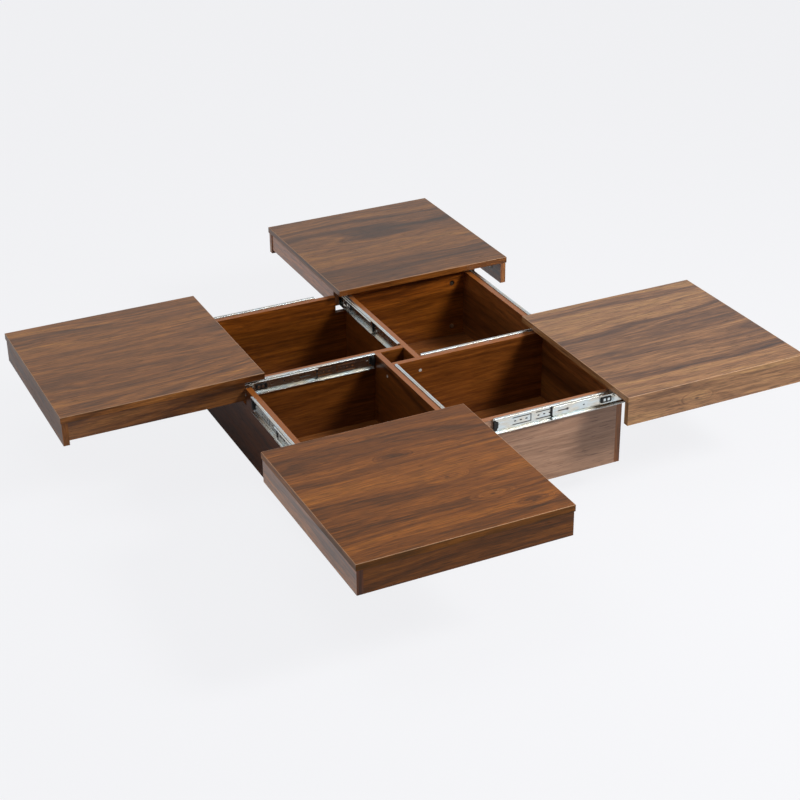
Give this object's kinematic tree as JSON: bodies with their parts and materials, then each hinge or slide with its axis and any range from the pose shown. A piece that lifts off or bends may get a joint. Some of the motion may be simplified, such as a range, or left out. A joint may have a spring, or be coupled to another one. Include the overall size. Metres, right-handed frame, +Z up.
{
  "type": "sliding top coffee table",
  "caption": "Square low coffee table whose top splits into sliding lids that run out on telescopic ball slides in a pinwheel and uncover storage compartments.",
  "frame": {"origin": "on the floor under the middle of the table", "axes": "+Z up, +X towards the right lid, +Y towards the back lid; the lids are drawn fully out"},
  "size_m": [1.7, 1.7, 0.311],
  "materials": {
    "walnut_board": "satin walnut-look laminate on board",
    "beech": "raw beech",
    "zinc_steel": "bright zinc plate",
    "zinc_casting": "raw zinc casting",
    "white_metal": "white paint",
    "black_plastic": "matt black",
    "black_rubber": "matt black"
  },
  "bodies": {
    "cabinet": {"wall_back": "walnut_board", "wall_left": "walnut_board", "wall_front": "walnut_board", "wall_right": "walnut_board", "partition_back": "walnut_board", "partition_left": "walnut_board", "partition_front": "walnut_board", "partition_right": "walnut_board", "bottom_panel": "walnut_board", "plinth_boards": "walnut_board", "floor_glides": "black_plastic", "cam_locks": "zinc_casting", "cam_bolts": "zinc_steel", "dowels": "beech", "carcass_screws": "zinc_steel", "slide_channels_outer": "zinc_steel", "slide_channels_inner": "zinc_steel", "slide_screws": "zinc_steel", "slide_bumpers": "black_rubber"},
    "lid_back": {"lid_back_top": "walnut_board", "lid_back_end_apron": "walnut_board", "lid_back_side_apron": "walnut_board", "lid_back_rails": "walnut_board", "lid_back_brackets": "white_metal", "lid_back_screws": "zinc_steel", "slide_lid_members_back": "zinc_steel"},
    "mid_back": {"slide_mid_members_back": "zinc_steel"},
    "outer_cage_back": {"slide_outer_cages_back": "zinc_steel"},
    "inner_cage_back": {"slide_inner_cages_back": "zinc_steel"},
    "lid_left": {"lid_left_top": "walnut_board", "lid_left_end_apron": "walnut_board", "lid_left_side_apron": "walnut_board", "lid_left_rails": "walnut_board", "lid_left_brackets": "white_metal", "lid_left_screws": "zinc_steel", "slide_lid_members_left": "zinc_steel"},
    "mid_left": {"slide_mid_members_left": "zinc_steel"},
    "outer_cage_left": {"slide_outer_cages_left": "zinc_steel"},
    "inner_cage_left": {"slide_inner_cages_left": "zinc_steel"},
    "lid_front": {"lid_front_top": "walnut_board", "lid_front_end_apron": "walnut_board", "lid_front_side_apron": "walnut_board", "lid_front_rails": "walnut_board", "lid_front_brackets": "white_metal", "lid_front_screws": "zinc_steel", "slide_lid_members_front": "zinc_steel"},
    "mid_front": {"slide_mid_members_front": "zinc_steel"},
    "outer_cage_front": {"slide_outer_cages_front": "zinc_steel"},
    "inner_cage_front": {"slide_inner_cages_front": "zinc_steel"},
    "lid_right": {"lid_right_top": "walnut_board", "lid_right_end_apron": "walnut_board", "lid_right_side_apron": "walnut_board", "lid_right_rails": "walnut_board", "lid_right_brackets": "white_metal", "lid_right_screws": "zinc_steel", "slide_lid_members_right": "zinc_steel"},
    "mid_right": {"slide_mid_members_right": "zinc_steel"},
    "outer_cage_right": {"slide_outer_cages_right": "zinc_steel"},
    "inner_cage_right": {"slide_inner_cages_right": "zinc_steel"}
  },
  "joints": [
    {"name": "slide_back", "type": "slide", "parent": "cabinet", "child": "lid_back", "axis": [0, 1, 0], "range_m": [-0.35, 0]},
    {"name": "mid_back_run", "type": "slide", "parent": "cabinet", "child": "mid_back", "axis": [0, 1, 0], "range_m": [-0.147, 0.001]},
    {"name": "outer_cage_back_run", "type": "slide", "parent": "cabinet", "child": "outer_cage_back", "axis": [0, 1, 0], "range_m": [-0.0745, 0.001]},
    {"name": "inner_cage_back_run", "type": "slide", "parent": "cabinet", "child": "inner_cage_back", "axis": [0, 1, 0], "range_m": [-0.2495, 0.001]},
    {"name": "slide_left", "type": "slide", "parent": "cabinet", "child": "lid_left", "axis": [-1, 0, 0], "range_m": [-0.35, 0]},
    {"name": "mid_left_run", "type": "slide", "parent": "cabinet", "child": "mid_left", "axis": [-1, 0, 0], "range_m": [-0.147, 0.001]},
    {"name": "outer_cage_left_run", "type": "slide", "parent": "cabinet", "child": "outer_cage_left", "axis": [-1, 0, 0], "range_m": [-0.0745, 0.001]},
    {"name": "inner_cage_left_run", "type": "slide", "parent": "cabinet", "child": "inner_cage_left", "axis": [-1, 0, 0], "range_m": [-0.2495, 0.001]},
    {"name": "slide_front", "type": "slide", "parent": "cabinet", "child": "lid_front", "axis": [0, -1, 0], "range_m": [-0.35, 0]},
    {"name": "mid_front_run", "type": "slide", "parent": "cabinet", "child": "mid_front", "axis": [0, -1, 0], "range_m": [-0.147, 0.001]},
    {"name": "outer_cage_front_run", "type": "slide", "parent": "cabinet", "child": "outer_cage_front", "axis": [0, -1, 0], "range_m": [-0.0745, 0.001]},
    {"name": "inner_cage_front_run", "type": "slide", "parent": "cabinet", "child": "inner_cage_front", "axis": [0, -1, 0], "range_m": [-0.2495, 0.001]},
    {"name": "slide_right", "type": "slide", "parent": "cabinet", "child": "lid_right", "axis": [1, 0, 0], "range_m": [-0.35, 0]},
    {"name": "mid_right_run", "type": "slide", "parent": "cabinet", "child": "mid_right", "axis": [1, 0, 0], "range_m": [-0.147, 0.001]},
    {"name": "outer_cage_right_run", "type": "slide", "parent": "cabinet", "child": "outer_cage_right", "axis": [1, 0, 0], "range_m": [-0.0745, 0.001]},
    {"name": "inner_cage_right_run", "type": "slide", "parent": "cabinet", "child": "inner_cage_right", "axis": [1, 0, 0], "range_m": [-0.2495, 0.001]}
  ],
  "couplings": [
    {"joint": "mid_back_run", "follows": "slide_back", "ratio": 0.41429},
    {"joint": "outer_cage_back_run", "follows": "slide_back", "ratio": 0.20714},
    {"joint": "inner_cage_back_run", "follows": "slide_back", "ratio": 0.70714},
    {"joint": "mid_left_run", "follows": "slide_left", "ratio": 0.41429},
    {"joint": "outer_cage_left_run", "follows": "slide_left", "ratio": 0.20714},
    {"joint": "inner_cage_left_run", "follows": "slide_left", "ratio": 0.70714},
    {"joint": "mid_front_run", "follows": "slide_front", "ratio": 0.41429},
    {"joint": "outer_cage_front_run", "follows": "slide_front", "ratio": 0.20714},
    {"joint": "inner_cage_front_run", "follows": "slide_front", "ratio": 0.70714},
    {"joint": "mid_right_run", "follows": "slide_right", "ratio": 0.41429},
    {"joint": "outer_cage_right_run", "follows": "slide_right", "ratio": 0.20714},
    {"joint": "inner_cage_right_run", "follows": "slide_right", "ratio": 0.70714}
  ]
}
